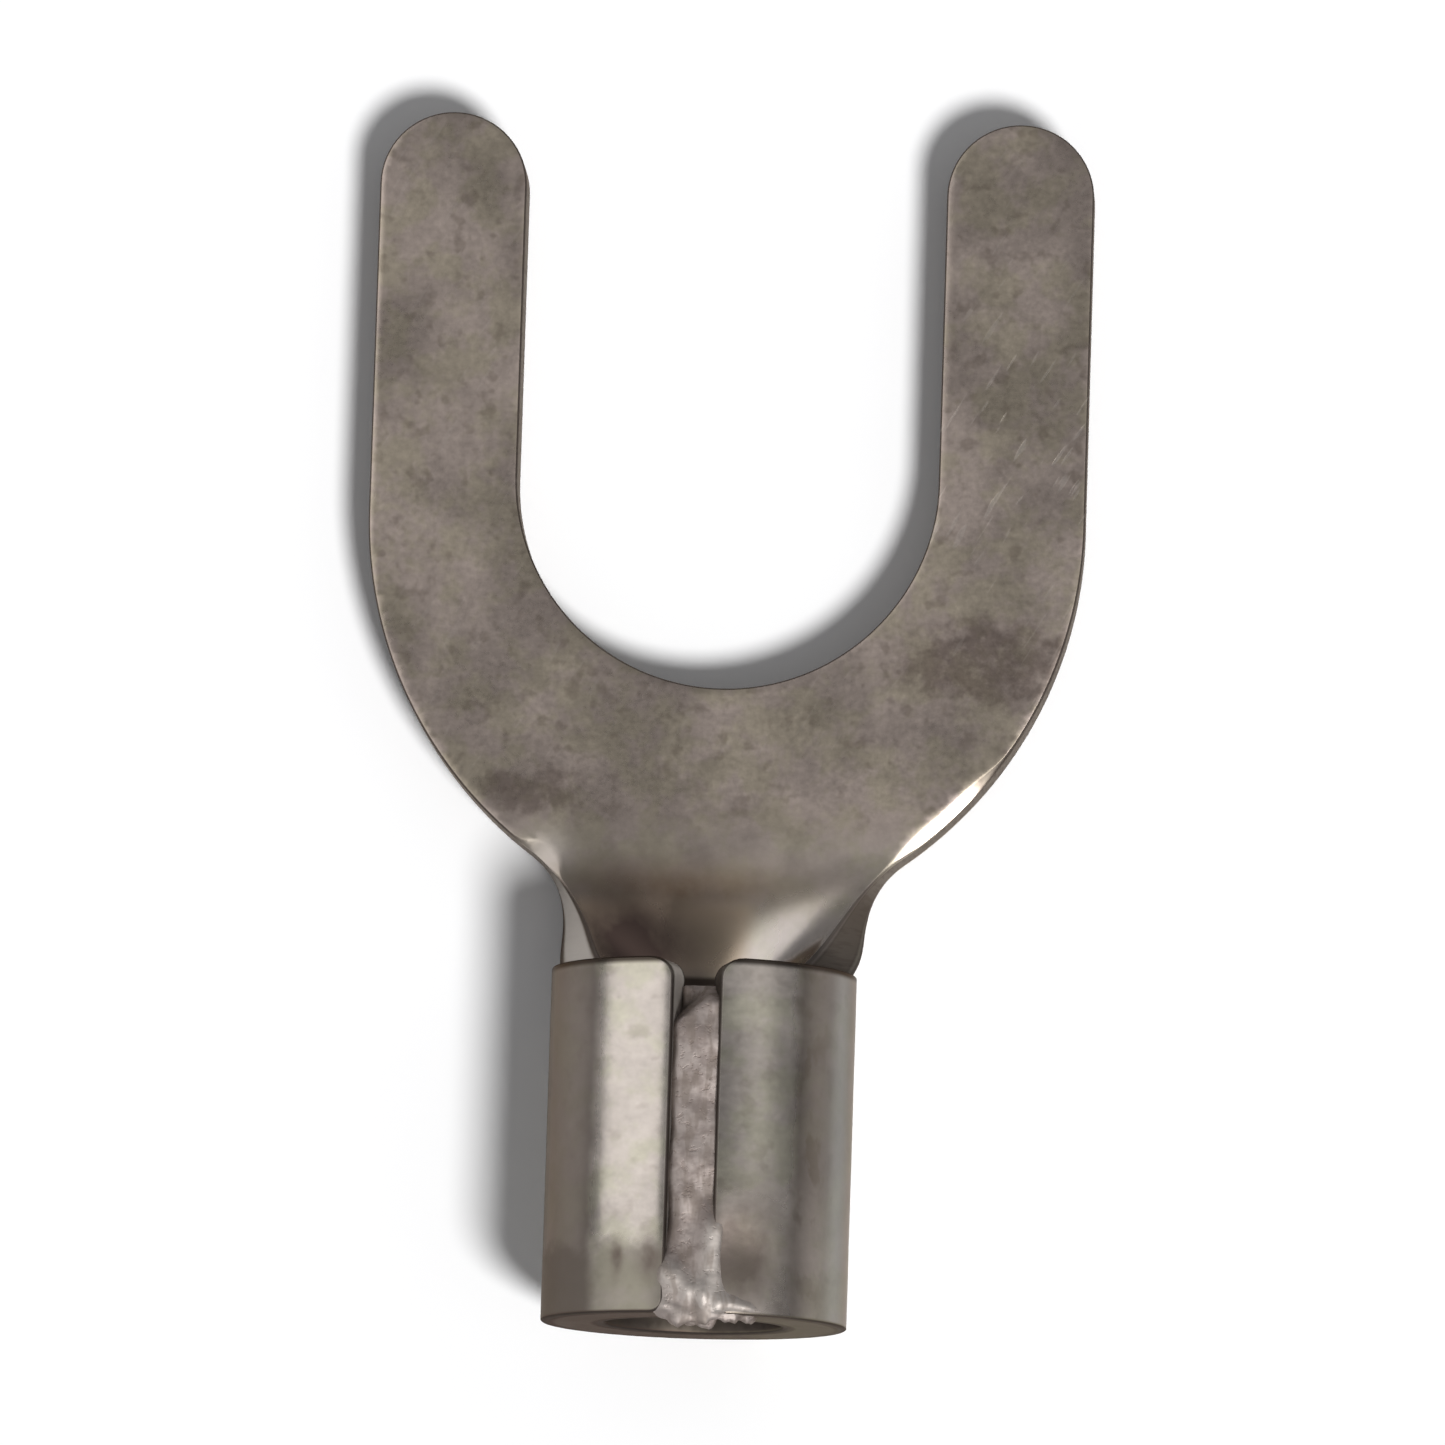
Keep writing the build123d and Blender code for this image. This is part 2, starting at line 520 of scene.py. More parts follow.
def fold_tree():
    """The node group that folds a flat mesh. Its sizes are named inputs."""
    tree = bpy.data.node_groups.new("fold_the_sheet", "GeometryNodeTree")
    tree.interface.new_socket("Sheet", in_out="INPUT", socket_type="NodeSocketGeometry")
    for name, value in FOLD_SIZES.items():
        socket = tree.interface.new_socket(name, in_out="INPUT", socket_type="NodeSocketFloat")
        socket.default_value = value
    tree.interface.new_socket("Finish", in_out="INPUT", socket_type="NodeSocketMaterial")
    tree.interface.new_socket("Folded", in_out="OUTPUT", socket_type="NodeSocketGeometry")
    bench = Bench(tree)
    entry = tree.nodes.new("NodeGroupInput")
    given = {socket.name: Reading(bench, socket) for socket in entry.outputs if socket.name}

    place = bench.add("GeometryNodeInputPosition")
    along, ahead, height = bench.split(place)
    progress = bench.clamp((given["Neck start"] - ahead) / given["Neck length"])
    curl = opened_curl(bench, given, along, ahead, progress)
    above = pressed_height(bench, given, place, along, ahead, height)
    floor_height = given["Stock"] / 2 - given["Drop"] * progress * progress * (3 - 2 * progress)

    turn = along * curl
    half_turn = turn / 2
    across = along * sine_over_angle(bench, turn) - above * bench.maths("SINE", turn)
    across = across - given["Lean"] * progress * progress
    rise = along * bench.maths("SINE", half_turn) * sine_over_angle(bench, half_turn)
    up = rise + above * bench.maths("COSINE", turn) + floor_height
    folded = bench.add("ShaderNodeCombineXYZ", None, {0: across, 1: ahead, 2: up})

    # the place on the flat sheet is kept, so that the finish can read it
    kept = bench.add(
        "GeometryNodeStoreNamedAttribute",
        {"data_type": "FLOAT_VECTOR", "domain": "POINT"},
        {"Geometry": given["Sheet"], "Name": "flat_place", "Value": place},
    )
    in_metres = bench.scaled(folded, given["Scale"])
    moved = bench.add("GeometryNodeSetPosition", None, {"Geometry": kept, "Position": in_metres})
    real = bench.add("GeometryNodeRealizeInstances", None, {"Geometry": moved})
    finish = {"Geometry": real, "Material": given["Finish"]}
    dressed = bench.add("GeometryNodeSetMaterial", None, finish)
    leave = tree.nodes.new("NodeGroupOutput")
    bench.feed(leave, {"Folded": dressed})
    return tree


folding = fold_tree()
print("fold tree:", len(folding.nodes), "nodes")


# %% Put a flat mesh through the tree
def placed(name, data):
    """A new object in the scene."""
    thing = bpy.data.objects.new(name, data)
    bpy.context.scene.collection.objects.link(thing)
    return thing


def baked(thing):
    """The object's mesh as its modifiers leave it. The object itself is removed."""
    ready = thing.evaluated_get(bpy.context.evaluated_depsgraph_get())
    mesh = bpy.data.meshes.new_from_object(ready)
    bpy.data.objects.remove(thing)
    return mesh


def fold(name, mesh, finish, changes=None):
    """The flat mesh, folded, as a plain mesh object in metres."""
    flat = placed(name + "_flat", mesh)
    modifier = flat.modifiers.new("fold", "NODES")
    inputs = [item for item in folding.interface.items_tree if item.in_out == "INPUT"]
    identifiers = {item.name: item.identifier for item in inputs}
    modifier.node_group = folding
    for key, value in {**FOLD_SIZES, **(changes or {}), "Finish": finish}.items():
        modifier[identifiers[key]] = value
    folded = baked(flat)
    folded.name = name
    return placed(name, folded)


print("ready to fold")

# %% [markdown]
# ## The braze
# Braze is melted into the seam, so it has no edges of its own: it sinks into the gap, climbs the
# flaps a little and freezes in lumps at the wire end, where the torch left it. The run is a strip
# whose height has soft swellings in it, and a few squashed drops hang over its end. They are drawn
# together on the flat sheet, a voxel remesh melts them into one skin, and a smoothing pass rounds
# the creases as surface tension does. The same fold tree then wraps the skin over the barrel's top.

# %% Sizes of the run and its drops
BRAZE_VOXEL = 0.02
TENSION_STEPS = 16
RUN_LEFT = -0.4
RUN_RIGHT = 0.84
RUN_FOOT = 0.4
RUN_FRONT = front_y - 0.3
RUN_SETBACK = 0.02
RUN_LEVEL = stock / 2 - 0.1
RUN_BOTTOM = stock / 2 - 0.01
RUN_SECTIONS = 110
RUN_OFFSETS = 32
FILM_RISE = 0.016

# Each swelling of the run, in mm: how far right of the seam, how far ahead of the wire end, half
# its width, half its length and its rise
SWELLINGS = [
    (-0.09, 1.2, 0.09, 0.34, 0.035),
    (0.1, 0.85, 0.08, 0.24, 0.03),
    (-0.13, 0.5, 0.09, 0.2, 0.065),
    (-0.25, 0.55, 0.06, 0.2, 0.07),
    (0.0, 0.26, 0.06, 0.16, 0.05),
    (0.14, 0.22, 0.06, 0.2, 0.07),
    (0.3, 0.12, 0.06, 0.14, 0.05),
    (0.44, 0.13, 0.08, 0.11, 0.07),
    (0.6, 0.08, 0.09, 0.1, 0.07),
    (0.74, 0.03, 0.07, 0.06, 0.06),
    (-0.22, 0.06, 0.08, 0.12, 0.05),
]

# Each drop over the end's edge: degrees round from the seam, distance ahead of the wire end, radius,
# rise above the flaps and how much longer than wide it is, all in mm but the first and last
DROPS = [
    (-3, 0.0, 0.15, 0.0, 1.0),
    (7, 0.0, 0.14, 0.01, 1.0),
    (-4, -0.03, 0.13, -0.2, 1.0),
    (8, -0.04, 0.13, -0.26, 1.0),
    (1, -0.02, 0.12, -0.42, 0.9),
    (-9, 0.02, 0.1, -0.06, 1.0),
    (17, 0.0, 0.12, -0.02, 1.0),
    (24, -0.01, 0.1, -0.08, 0.9),
    (28, -0.02, 0.08, -0.22, 0.9),
]
DROP_FLATNESS = 0.6
DROP_WOBBLE = 0.35
print("swellings:", len(SWELLINGS), "and drops:", len(DROPS))


# %% Draw the run and its drops flat
def soft_step(value, start, end):
    """0 before start and 1 after end, with a soft step between them."""
    share = min(max((value - start) / (end - start), 0.0), 1.0)
    return share * share * (3 - 2 * share)


def run_height(across, ahead):
    """How far the run's skin stands out from the middle of the sheet, at a place in the seam."""
    behind = ahead - rear_y
    ripple = 0.018 * math.sin(ahead * 4.3 + 2) + 0.006 * math.sin(ahead * 11.9 + across * 6)
    level = RUN_LEVEL + ripple + 0.06 * soft_step(behind, 0.9, 0.2)

    # it lies low along the left flap, but not at the wire end, and its front end slopes down
    filled = soft_step(across + 0.015 * math.sin(ahead * 6.1), -0.32, -0.2)
    level -= 0.2 * (1 - filled) * soft_step(behind, 0.5, 1.1)
    nose = soft_step(ahead + 0.9 * max(0.0, 0.1 - across), RUN_FRONT, RUN_FRONT - 0.25)
    level -= 0.45 * (1 - nose)

    # a thin film has run over the right flap's edge, towards the wire end
    edge = 0.3 + 0.02 * math.sin(ahead * 5.1)
    film = soft_step(across, 0.05, 0.22) * soft_step(across, edge + 0.12, edge)
    film *= soft_step(behind, 1.5, 1.0)
    level += film * (stock / 2 + FILM_RISE - level)
    for to_right, forward, width, length, rise in SWELLINGS:
        apart = ((across - to_right) / width) ** 2 + ((behind - forward) / length) ** 2
        level += rise * math.exp(-apart) * soft_step(behind, -0.02, 0.08)
    return level


def add_run(work):
    """The run, from the bore up to its skin, which reaches over both flaps' edges."""
    loops = []
    for ahead in np.linspace(rear_y + RUN_SETBACK, RUN_FRONT, RUN_SECTIONS):
        offsets = np.linspace(RUN_LEFT, RUN_RIGHT, RUN_OFFSETS)
        loop = [(seam_line - across, ahead, -run_height(across, ahead)) for across in offsets]
        loop.append((seam_line - RUN_RIGHT, ahead, 0.0))
        loop.append((seam_line - RUN_FOOT, ahead, RUN_BOTTOM))
        loop.append((seam_line - RUN_LEFT, ahead, RUN_BOTTOM))
        loops.append([work.verts.new(corner) for corner in loop])
    for here, there in zip(loops, loops[1:]):
        for k in range(len(here)):
            after = (k + 1) % len(here)
            work.faces.new([here[k], here[after], there[after], there[k]])
    work.faces.new(loops[0])
    work.faces.new(list(reversed(loops[-1])))


def add_drop(work, degrees, ahead, radius, rise, stretch):
    """One uneven drop of braze, its top that much above the flaps."""
    depth = DROP_FLATNESS * radius
    along = seam_line - math.radians(degrees) * roll_radius
    middle = Vector((along, rear_y + ahead, -(stock / 2 + rise - depth)))
    made = bmesh.ops.create_icosphere(work, subdivisions=3, radius=1.0)
    for vert in made["verts"]:
        streaked = Vector((vert.co.x * 2.2, vert.co.y * 0.8, vert.co.z))
        wobble = 1 + DROP_WOBBLE * noise.noise(streaked + middle * 5)
        shaped = Vector((vert.co.x * radius, vert.co.y * radius * stretch, vert.co.z * depth))
        vert.co = shaped * wobble + middle


def melted(name, work):
    """The shapes in one skin: voxel remesh, then smoothing."""
    bmesh.ops.recalc_face_normals(work, faces=work.faces)
    mesh = bpy.data.meshes.new(name)
    work.to_mesh(mesh)
    work.free()
    drawn = placed(name, mesh)
    melt = drawn.modifiers.new("melt", "REMESH")
    melt.mode = "VOXEL"
    melt.voxel_size = BRAZE_VOXEL
    tension = drawn.modifiers.new("surface tension", "SMOOTH")
    tension.factor = 0.5
    tension.iterations = TENSION_STEPS
    skin = baked(drawn)
    for polygon in skin.polygons:
        polygon.use_smooth = True
    return skin


braze_work = bmesh.new()
add_run(braze_work)
for drop in DROPS:
    add_drop(braze_work, *drop)
braze_skin = melted("braze_skin", braze_work)
print("braze skin:", len(braze_skin.polygons), "faces")

# %% [markdown]
# ## The finish of the sheet
# The sheet is copper with a thin coat of tin. Handling and heat have left it dull and brownish, with
# a fine grain, darker clouds, a few scratches and two smudges where the mark of a press would be.
# Its cut edges are streaked by the punch. The pattern has to run with the metal round the bend, so
# it reads the place on the flat sheet that the fold tree stored.

# %% Start a finish
MIRROR_TINT = (0.55, 0.5, 0.46, 1)


def new_finish(name):
    """A metal material, its bench and its Principled shader."""
    material = bpy.data.materials.new(name)
    material.use_nodes = True
    bench = Bench(material.node_tree)
    surface = material.node_tree.nodes["Principled BSDF"]
    bench.feed(surface, {"Metallic": 1.0, "Specular Tint": MIRROR_TINT})
    return material, bench, surface


def flat_place(bench):
    """The place on the flat sheet, in millimetres."""
    return bench.add("ShaderNodeAttribute", {"attribute_name": "flat_place"}, out=1)


print("finishes can start")

# %% [markdown]
# The finish is built up from zones, which are shares from 0 to 1 that say where the cut wall, the
# bore, a flap or a scorched patch is. Each layer of colour is a zone, its weight and a tint.

# %% Patches and zones
# Each patch on the flat sheet: the centre, and how far it fades out in both ways
RIGHT_SMUDGE = ((3.25, -2.25), (1.25, 0.62))
LEFT_SMUDGE = ((-2.3, -4.0), (0.95, 0.42))
SCRATCHED_PRONG = ((3.6, 0.5), (1.2, 1.6))
RIGHT_RIM = ((2.85, neck_start_y + 0.2), (0.62, 0.62))
LEFT_RIM = ((-2.1, neck_start_y - 0.08), (0.3, 0.3))
# Painted shade: a brown band across the neck, just in front of the barrel
NECK_BAND_SHADE = ((-0.4, front_y + 1.17), (2.1, 0.4))
# Painted shade on the neck's left wall, where it curls up beside the barrel's mouth
LEFT_WALL_SHADE = ((-1.15, front_y + 0.43), (1.05, 0.74))
# Painted highlight where the neck's right wall curls up and catches the window
LIT_CURL = ((1.15, front_y + 0.5), (0.55, 0.55))
FLANK_MOTTLE = ((seam_line - 1.25, barrel_middle_y - 0.05), (0.4, 2.6))
COOL_BAND = ((seam_line - 1.85, barrel_middle_y + 0.05), (0.26, 4.0))
BROWN_PATCH = ((seam_line - 0.47, rear_y + 0.76), (0.5, 0.74))
LEFT_BURN = ((0.37 - seam_line, rear_y + 0.67), (0.13, 0.22))
SMALL_BURN = ((0.73 - seam_line, rear_y + 0.67), (0.07, 0.24))


def scorched(bench, at):
    """The scorched patches beside the seam at the wire end."""
    burnt = bench.noise(bench.stretch(at.place, (1.2, 0.6, 1.0)), 0.16)
    brown = at.near(BROWN_PATCH) * (1.05 + 0.8 * burnt)
    left_burn = at.near(LEFT_BURN) + at.near(SMALL_BURN)
    return bench.clamp(brown * 0.85 + left_burn * burnt * 1.7)


def scratched(bench, at):
    """A few short scratches, mostly on the right prong."""
    turned = {"Vector": at.place, "Rotation": (0, 0, -0.55), "Scale": (1.0, 9.0, 1.0)}
    turned = bench.add("ShaderNodeMapping", {"vector_type": "TEXTURE"}, turned)
    scratch = bench.fade(bench.noise(turned, 0.07, detail=1.0), 0.67, 0.73)
    scratch = scratch * bench.fade(at.ahead, neck_start_y + 0.5, neck_start_y + 1.1) * (1 - at.wall)
    return scratch * (0.2 + 0.8 * at.near(SCRATCHED_PRONG))


def shaded_rim_share(bench, at):
    """The rim's own attribute, which says where the rims are painted darker as shade, less where the
    rim is rolled over to a slope that catches the lamp.
    """
    rolled_over = (at.near(RIGHT_RIM) + at.left_rim) * (1 - at.wall)
    rim = bench.add("ShaderNodeAttribute", {"attribute_name": "rim"}, out=2)
    return rim * (1 - bench.clamp(2.5 * rolled_over))


def sheet_zones(bench):
    """The place on the flat sheet, the noises that layers share, and every zone."""
    at = SimpleNamespace(place=flat_place(bench))
    at.along, at.ahead, at.height = bench.split(at.place)
    at.side = bench.maths("ABSOLUTE", at.along)
    at.near = lambda patch: bench.hill(at.along, at.ahead, *patch)
    at.cloud = bench.fade(bench.noise(at.place, 1.7, detail=4.0, roughness=0.6), 0.36, 0.64)
    at.grain = bench.noise(at.place, 0.08, roughness=0.6)
    at.patch = bench.noise(at.place, 0.28, detail=3.0, roughness=0.6)
    at.ragged = bench.noise(at.place, 0.3, detail=4.0, roughness=0.6)
    at.streak = bench.noise(bench.stretch(at.place, (1.0, 1.0, 0.12)), 0.05)

    # the cut wall, the face at the wire end, the barrel's two sides and the calm, smooth neck
    depth = bench.maths("ABSOLUTE", at.height)
    at.wall = bench.fade(depth, stock / 2 - 0.07, stock / 2 - 0.14)
    at.rear = bench.fade(at.ahead, rear_y + 0.05, rear_y + 0.015)
    at.outside = bench.fade(at.height, -0.2, -0.3)
    at.barrel = bench.fade(at.ahead, front_y + 0.25, front_y - 0.15)
    at.bore = at.barrel * bench.fade(at.height, 0.2, 0.3)
    at.calm = bench.fade(at.ahead, neck_start_y + 0.8, neck_start_y) * (1 - at.barrel)

    # the flaps, the flanks below them and the left flap's dull end
    at.left_flap = at.outside * at.barrel * bench.fade(at.along, 0.0, -0.1)
    at.right_flap = bench.fade(at.along, 0.0, 0.1)
    flank_edge = 0.16 * (bench.noise(at.place, 0.5, detail=3.0) - 0.5)
    flank = bench.fade(at.side + flank_edge, seam_line - 0.95, seam_line - 1.15)
    at.flank = at.barrel * at.outside * flank
    at.dull = at.left_flap * bench.fade(at.ahead + 0.5 * (at.ragged - 0.5), rear_y + 1.0, rear_y + 0.7)

    # the neck's lit cut on the left, the rims and the marks of use
    lit_cut = at.wall * (1 - at.rear) * bench.fade(at.along, -0.2, -0.8)
    at.lit_cut = lit_cut * bench.fade(at.ahead, neck_start_y - 0.1, neck_start_y - 0.7)
    at.left_rim = at.near(LEFT_RIM)
    at.rim = shaded_rim_share(bench, at)
    at.scorch = scorched(bench, at)
    at.scratch = scratched(bench, at)
    return at


print("patches and zones are named")

# %% [markdown]
# ## Layers of colour
# The tin comes first, in pinkish and olive clouds with dark flecks. Over it go the smudges, a painted
# shade band across the neck, painted shade down the barrel's flanks, the cut edges, painted shade
# along the rims and a painted shadow in the corners, and last the scorched patches and the scratches.

# %% Colour of the tin and the neck
# The tongue's tins are darker than the barrel's: painted shade for the flat tongue, which faces the
# dim room
PINK_BARREL = (0.485, 0.435, 0.393, 1)
PINK_TONGUE = (0.405, 0.337, 0.297, 1)
OLIVE_BARREL = (0.46, 0.43, 0.352, 1)
OLIVE_TONGUE = (0.376, 0.324, 0.256, 1)
FLECK_BROWN = (0.17, 0.135, 0.105, 1)
SMUDGE_BROWN = (0.12, 0.088, 0.072, 1)
# Painted shade colour of the band across the neck
BAND_SHADE_BROWN = (0.2, 0.145, 0.1, 1)
WARM_FLOOR = (0.5, 0.385, 0.275, 1)
# Painted shade colour of the neck's left wall
WALL_SHADE_BROWN = (0.095, 0.066, 0.057, 1)
# Pale tints for painted highlights on the neck's lit curl and on the left rim
CURL_HIGHLIGHT = (0.385, 0.348, 0.332, 1)
LEFT_RIM_HIGHLIGHT = (0.41, 0.37, 0.355, 1)


def tin_colour(bench, at):
    """Clouds of pinkish and olive tin with dark flecks, browner on the tongue and darker there as
    painted shade.
    """
    olive = bench.fade(bench.noise(at.place, 0.55, detail=3.0, roughness=0.6), 0.42, 0.6)
    fleck = bench.fade(bench.noise(at.place, 0.24), 0.56, 0.72)
    tongue = bench.fade(at.ahead, front_y + 0.9, front_y + 2.2)
    pink_tin = bench.blend(tongue, PINK_BARREL, PINK_TONGUE)
    olive_tin = bench.blend(tongue, OLIVE_BARREL, OLIVE_TONGUE)
    brightness = 0.56 + 0.2 * at.cloud + 0.46 * at.patch + 0.18 * at.grain
    colour = bench.scaled(bench.blend(olive, pink_tin, olive_tin), brightness)
    return bench.blend(fleck * (0.4 - 0.2 * at.barrel - 0.3 * at.calm), colour, FLECK_BROWN)


def press_smudges(bench, at):
    """The two smudges where the mark of a press would be."""
    right = at.near(RIGHT_SMUDGE) * at.ragged
    right = bench.fade(right, 0.12, 0.42) * (1 - 0.6 * bench.fade(right, 0.4, 0.6))
    left = bench.fade(at.near(LEFT_SMUDGE) * at.ragged, 0.24, 0.44)
    return bench.clamp(right * 0.62 + left * 0.5)


def neck_tints(bench, at, colour):
    """The painted shade band across the neck, the warm floor, the painted shade on the left wall, and
    painted highlights on the lit curl and the left rim.
    """
    # a painted shade band across the neck in front of the barrel
    band_shade = at.near(NECK_BAND_SHADE) * (0.65 + 0.5 * at.patch)
    warm = bench.fade(at.ahead, front_y + 1.1, front_y + 0.85) * (1 - at.barrel)
    warm = warm * bench.fade(at.along, 0.7, 0.35)
    # painted shade darkens the neck's left wall
    wall_shade = at.near(LEFT_WALL_SHADE) * (0.8 + 0.4 * at.patch)
    # painted highlights: the lit curl, and the left rim below
    lit_curl = at.near(LIT_CURL) * (1 - at.wall)
    return bench.layered(
        colour,
        (bench.clamp(band_shade), BAND_SHADE_BROWN),
        (warm * 0.75, WARM_FLOOR),
        (bench.clamp(1.12 * wall_shade) * (1 - at.wall), WALL_SHADE_BROWN),
        (lit_curl * 0.7, CURL_HIGHLIGHT),
        (at.left_rim * 0.6, LEFT_RIM_HIGHLIGHT),
    )


print("tin and neck can be coloured")

# %% Colour of the barrel and its edges
DULL_END = (0.15, 0.135, 0.105, 1)
# Painted shade colour for the barrel's flanks
FLANK_SHADE_BROWN = (0.11, 0.09, 0.078, 1)
MOTTLE_BROWN = (0.1, 0.08, 0.055, 1)
COOL_GREY = (0.275, 0.305, 0.312, 1)
EDGE_GREY = (0.3, 0.27, 0.235, 1)
EDGE_STREAK = (0.17, 0.14, 0.12, 1)
# Painted shade colour inside the bore
BORE_SHADE_BROWN = (0.055, 0.042, 0.034, 1)
# Painted shade colours of the face at the wire end
END_SHADE_BROWN = (0.085, 0.06, 0.048, 1)
END_SHADE_OLIVE = (0.16, 0.14, 0.1, 1)
LIT_EDGE = (0.62, 0.58, 0.54, 1)
SHADED_EDGE = (0.075, 0.06, 0.048, 1)
# Painted shade colours for the rims and for the corners under the flaps
RIM_SHADE = (0.06, 0.05, 0.045, 1)
CORNER_SHADOW = (0.04, 0.03, 0.024, 1)


def flap_tints(bench, at, colour):
    """The left flap's painted shade and dull end, the painted shade down the flanks, and the right
    one's mottle and cool band.
    """
    # The left flap is 15% darker, painted shade that tones down the window's highlight on it
    colour = bench.scaled(colour, 1 - 0.15 * at.left_flap)
    # Painted shade down the barrel's flanks, less on the right flap's far side and at the wire end,
    # and fading out underneath
    far_right = at.right_flap * bench.fade(at.side, seam_line - 1.52, seam_line - 1.82)
    paler_end = at.right_flap * bench.fade(at.ahead, rear_y + 1.85, rear_y + 0.95)
    belly = bench.fade(at.side, seam_line - 2.5, seam_line - 3.1)
    flank = at.flank * (0.8 - 0.35 * far_right - 0.17 * paler_end) * (1 - 0.75 * belly)
    mottle = bench.noise(bench.stretch(at.place, (1.0, 0.5, 1.0)), 0.22, detail=3.0)
    mottle = bench.fade(mottle, 0.5, 0.62) * bench.hill(at.side, at.ahead, *FLANK_MOTTLE)
    cool = bench.hill(at.side, at.ahead, *COOL_BAND)
    right_flank = at.flank * at.right_flap
    return bench.layered(
        colour,
        (at.dull * 0.65, DULL_END),
        (flank, FLANK_SHADE_BROWN),
        (mottle * right_flank * 0.4, MOTTLE_BROWN),
        (cool * right_flank * 0.5, COOL_GREY),
    )


def edge_tints(bench, at, colour):
    """The streaked cut edges, the bore and the face at the wire end painted dark as shade, and the
    neck's cuts.
    """
    streaked = at.wall * bench.fade(at.streak, 0.5, 0.62)
    # The face at the wire end is painted dark brown and olive as shade
    olive_end = bench.fade(at.along + 2.5 * (at.patch - 0.5), -0.2, 1.2)
    end_shade = bench.blend(olive_end, END_SHADE_BROWN, END_SHADE_OLIVE)
    shaded_cut = at.wall * (1 - at.rear) * bench.fade(at.along, 0.2, 0.8)
    shaded_cut = shaded_cut * bench.fade(at.ahead, neck_start_y - 0.2, neck_start_y - 0.7)
    return bench.layered(
        colour,
        (at.wall * 0.8, EDGE_GREY),
        (streaked * 0.5, EDGE_STREAK),
        # the bore is painted dark as shade inside the barrel
        (at.bore * 0.92, BORE_SHADE_BROWN),
        (at.rear * (0.75 + 0.4 * at.patch), end_shade),
        (at.lit_cut * 0.85, LIT_EDGE),
        (shaded_cut * 0.72, SHADED_EDGE),
    )


def rim_and_corner_shade(bench, at, colour):
    """Painted shade along the rims, and a painted shadow in the corners where the flaps meet the neck.
    """
    # A painted shadow under the flaps' front edges, and on the neck just in front of them
    flap = bench.fade(at.side, neck_half + 0.02, neck_half + 0.08)
    from_front = bench.maths("ABSOLUTE", at.ahead - (front_y - 0.02))
    front_face = flap * bench.fade(from_front, 0.09, 0.02)
    front_face = front_face * (0.3 + 0.7 * bench.fade(at.height, -0.26, -0.36))
    neck_end = (1 - flap) * bench.fade(at.ahead, front_y - 0.1, front_y)
    neck_end = neck_end * bench.fade(at.ahead, front_y + 0.1, front_y + 0.03)
    return bench.layered(
        colour,
        # painted shade along the rims and cut walls, less on the lit cut
        (at.rim * (0.9 - 0.35 * at.lit_cut), RIM_SHADE),
        (bench.clamp(front_face + neck_end) * 0.95, CORNER_SHADOW),
    )


print("barrel and edges can be coloured")

# %% Dull tin over copper
SCORCH_BROWN = (0.135, 0.108, 0.092, 1)
SCRATCH_BRIGHT = (0.66, 0.61, 0.55, 1)
SHEET_RELIEF = 4e-6


def sheet_roughness(bench, at):
    """How blurred reflections are: least in the neck, most in the bore and on the rims."""
    neck = bench.fade(at.ahead, neck_start_y, front_y + 0.6)
    rough = 0.28 - 0.05 * neck - 0.03 * (at.barrel * at.outside) + 0.05 * at.cloud
    rough = rough + 0.1 * (1 - at.calm) * (1 - 0.6 * at.barrel) * (at.grain - 0.5)
    rough = rough + 0.1 * at.left_rim + 0.2 * at.wall + 0.15 * at.scorch + 0.1 * at.flank
    return rough + 0.2 * at.dull + 0.3 * at.rim + 0.3 * at.bore


def sheet_relief(bench, at):
    """Fine bumps: the grain, a soft unevenness, scratches and the streaks of the cut edges."""
    waves = bench.noise(at.place, 0.3) * 1.2
    relief = at.grain * (0.3 - 0.2 * at.barrel) + waves - at.scratch * 0.25
    relief = (relief + at.wall * at.streak * 1.5) * (1 - 0.97 * at.calm)
    return bench.add("ShaderNodeBump", None, {"Distance": SHEET_RELIEF, "Height": relief})


def tinned_sheet():
    """The finish of the sheet, from its tin to its last scratch."""
    material, bench, surface = new_finish("tinned_sheet")
    at = sheet_zones(bench)
    colour = tin_colour(bench, at)
    colour = bench.blend(press_smudges(bench, at), colour, SMUDGE_BROWN)
    for tints in (neck_tints, flap_tints, edge_tints, rim_and_corner_shade):
        colour = tints(bench, at, colour)
    colour = bench.blend(at.scorch * 0.9, colour, SCORCH_BROWN)
    colour = bench.blend(at.scratch * 0.3, colour, SCRATCH_BRIGHT)
    rough = sheet_roughness(bench, at)
    bump = sheet_relief(bench, at)
    bench.feed(surface, {"Base Color": colour, "Roughness": rough, "Normal": bump})
    return material


sheet_finish = tinned_sheet()
print("sheet finish:", len(sheet_finish.node_tree.nodes), "nodes")

# %% [markdown]
# ## The finish of the braze
# Braze cools to a pinkish grey skin, pitted along the run, and paler and a little smoother on the
# lumps. A share that grows with the height above the flaps tells lump from run.

# %% Pinkish braze
BRAZE_PINK = (0.32, 0.278, 0.257, 1)
BRAZE_BROWN = (0.224, 0.188, 0.172, 1)
PIT_BROWN = (0.18, 0.135, 0.115, 1)
LUMP_GREY = (0.42, 0.39, 0.36, 1)
BRAZE_STREAK = (0.2, 0.165, 0.14, 1)
BRAZE_IN_BORE = (0.26, 0.2, 0.16, 1)
BRAZE_RELIEF = 7e-6


